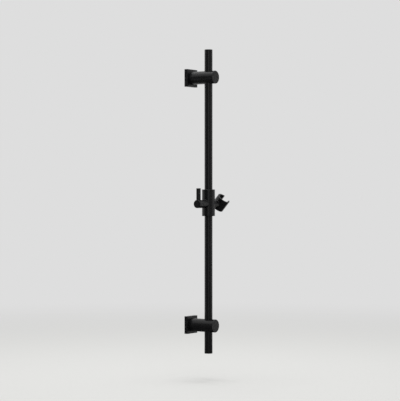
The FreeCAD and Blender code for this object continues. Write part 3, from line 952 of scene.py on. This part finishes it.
# Swivel screw that holds the cup: plain shank, rolled thread and a cheese head with a hex socket.
swivelScrew = {
    "radius": 2.46,
    "pitch": 0.8,
    "threadEnd": 24,
    "shankStart": 23,
    "shank": 2.5,
    "headStart": 33,
    "headRound": 0.6,
    "collarRound": 0.2,
    "key": 4,
    "socketDepth": 2.5,
    "steps": 64,
}


def makeSwivelScrew():
    low, high = boxOf("swivel_screw")
    tip = low.x
    end = high.x
    head = (high.y - low.y) / 2
    outside = swivelScrew["radius"] + thread["spare"]
    edge = thread["depth"] * swivelScrew["pitch"] + thread["spare"]
    stop = swivelScrew["threadEnd"]
    corners = [(0, tip), (outside - edge, tip), (outside, tip + edge), (outside, stop), (0, stop)]
    place = along(toRight, sliderCentre)
    screw = threaded(corners, swivelScrew["radius"], swivelScrew["pitch"], place)
    shank = swivelScrew["shank"]
    corners = [
        (0, swivelScrew["shankStart"]),
        (shank, swivelScrew["shankStart"]),
        (shank, swivelScrew["headStart"]),
        (head, swivelScrew["headStart"], swivelScrew["collarRound"]),
        (head, end, swivelScrew["headRound"]),
        (0, end),
    ]
    combine(screw, draft(turnProfile(corners, swivelScrew["steps"]), place @ offBeat), "UNION")
    cutKey(screw, swivelScrew["key"], end, swivelScrew["socketDepth"], place)
    placePiece(screw, "swivel_screw")


makeSwivelScrew()
print("cup and swivel screw made")

# Camera level with the middle of the rail, to the left of it, as in the photograph.
camera = {
    "azimuth": -55.7,      # degrees round from square on
    "focalPixels": 1450,
    "metresPerPixel": 2.5025 * mm,
    "railAcross": 208.5,   # pixel column of the rail's axis
    "railMiddle": 201.5,   # pixel row of the middle of the rail
    "horizon": 195,        # pixel row of the camera's own height
    "imageWidth": 400,
    "imageHeight": 401,
    "sensor": 36,
}


def roundFromCamera(degrees):
    # level direction from the rail, by its angle from the way to the camera
    angle = math.radians(camera["azimuth"] + degrees)
    return Vector((math.sin(angle), -math.cos(angle), 0))


def makeCamera():
    data = bpy.data.cameras.new("camera")
    data.sensor_width = camera["sensor"]
    data.lens = camera["focalPixels"] * camera["sensor"] / camera["imageHeight"]
    data.shift_x = (camera["imageWidth"] / 2 - camera["railAcross"]) / camera["imageHeight"]
    data.shift_y = (camera["horizon"] - camera["imageHeight"] / 2) / camera["imageHeight"]
    seen = bpy.data.objects.new("camera", data)
    scene.collection.objects.link(seen)
    back = roundFromCamera(0)
    low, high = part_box("rail_tube")
    target = (low + high) / 2
    target.z += (camera["railMiddle"] - camera["horizon"]) * camera["metresPerPixel"]
    seen.location = target + back * camera["focalPixels"] * camera["metresPerPixel"]
    seen.rotation_mode = "QUATERNION"
    seen.rotation_quaternion = (-back).to_track_quat("-Z", "Y")
    scene.camera = seen


# Studio: a pale floor below the rail that fades into an even pale surround, a broad soft lamp above,
# and cloth flags that only reflections see: three upright round the rail and one lying on the floor.
studio = {
    "floorDrop": 0.45,
    "floorRadius": 3,
    "floorSteps": 96,
    "fadeStart": 0.6,
    "fadeEnd": 2.8,
    "floorColour": "#e2e2e0",
    "surround": "#dedede",
    "lampHeight": 1.5,
    "lampSize": 1.4,
    "lampPower": 14,
    "flagDistance": 1.9,
    "flagTop": 1.1,
    "flagSteps": 24,
    "flags": {  # degrees round from the camera
        "leftFlag": (-76, -10, "#303030"),
        "rightFlag": (12, 76, "#8c8c8c"),
        "sideFlag": (104, 130, "#b8b8b8"),
    },
    "underFlag": (1.6, 0.95, "#3c3c3c"),  # radius, distance towards the camera, colour
    "underLift": 0.005,
    "underSteps": 64,
}


def addStage(name, bm, material):
    piece = draft(bm)
    piece.name = name
    piece.data.name = name
    piece.data.materials.append(material)
    return piece


def makeFloor():
    material, tree, place = newMaterial("paleFloor")
    level = {1: (1, 1, 0)}
    flat = addNode(tree, "ShaderNodeVectorMath", {"operation": "MULTIPLY"}, level, {0: place})
    flat = flat.outputs["Vector"]
    reach = addNode(tree, "ShaderNodeVectorMath", {"operation": "LENGTH"}, links={0: flat})
    span = {"From Min": studio["fadeStart"], "From Max": studio["fadeEnd"]}
    smooth = {"interpolation_type": "SMOOTHSTEP"}
    fade = addNode(tree, "ShaderNodeMapRange", smooth, span, {"Value": reach.outputs["Value"]})
    paint = addNode(tree, "ShaderNodeBsdfDiffuse", None, {"Color": hexToLinear(studio["floorColour"])})
    clear = addNode(tree, "ShaderNodeBsdfTransparent")
    mixed = addNode(tree, "ShaderNodeMixShader", links={
        0: fade.outputs["Result"],
        1: paint.outputs["BSDF"],
        2: clear.outputs["BSDF"],
    })
    addNode(tree, "ShaderNodeOutputMaterial", links={"Surface": mixed.outputs["Shader"]})
    radius = studio["floorRadius"]
    bm = bmesh.new()
    bmesh.ops.create_circle(bm, cap_ends=True, segments=studio["floorSteps"], radius=radius)
    bmesh.ops.translate(bm, verts=bm.verts, vec=(0, 0, -studio["floorDrop"]))
    addStage("floor", bm, material)


def addFlag(name, bm, colour):
    material, tree, _ = newMaterial(name + "Cloth")
    shader = addNode(tree, "ShaderNodeBsdfDiffuse", None, {"Color": hexToLinear(colour)})
    addNode(tree, "ShaderNodeOutputMaterial", links={"Surface": shader.outputs["BSDF"]})
    flag = addStage(name, bm, material)
    flag.visible_camera = False
    flag.visible_diffuse = False
    flag.visible_shadow = False


def makeFlags():
    for name, (start, end, colour) in studio["flags"].items():
        bm = bmesh.new()
        foot = roundFromCamera(start) * studio["flagDistance"]
        heights = (-studio["floorDrop"], studio["flagTop"])
        ends = [bm.verts.new((foot.x, foot.y, height)) for height in heights]
        edge = bm.edges.new(ends)
        bmesh.ops.spin(bm, geom=[edge, *ends], cent=(0, 0, 0), axis=(0, 0, 1), dvec=(0, 0, 0),
                       angle=math.radians(end - start), steps=studio["flagSteps"], use_duplicate=False)
        addFlag(name, bm, colour)
    radius, forward, colour = studio["underFlag"]
    middle = roundFromCamera(0) * forward
    middle.z = studio["underLift"] - studio["floorDrop"]
    bm = bmesh.new()
    bmesh.ops.create_circle(bm, cap_ends=True, segments=studio["underSteps"], radius=radius)
    bmesh.ops.translate(bm, verts=bm.verts, vec=middle)
    addFlag("underFlag", bm, colour)


def makeLight():
    world = bpy.data.worlds.new("studio")
    scene.world = world
    world.use_nodes = True
    tree = world.node_tree
    tree.nodes.clear()
    back = addNode(tree, "ShaderNodeBackground", None, {"Color": hexToLinear(studio["surround"])})
    addNode(tree, "ShaderNodeOutputWorld", links={"Surface": back.outputs["Background"]})
    data = bpy.data.lights.new("overheadLamp", "AREA")
    data.size = studio["lampSize"]
    data.energy = studio["lampPower"]
    lamp = bpy.data.objects.new("overheadLamp", data)
    lamp.location = (0, 0, studio["lampHeight"])
    lamp.visible_camera = False
    scene.collection.objects.link(lamp)


makeCamera()
makeFloor()
makeFlags()
makeLight()
print("studio and camera set")
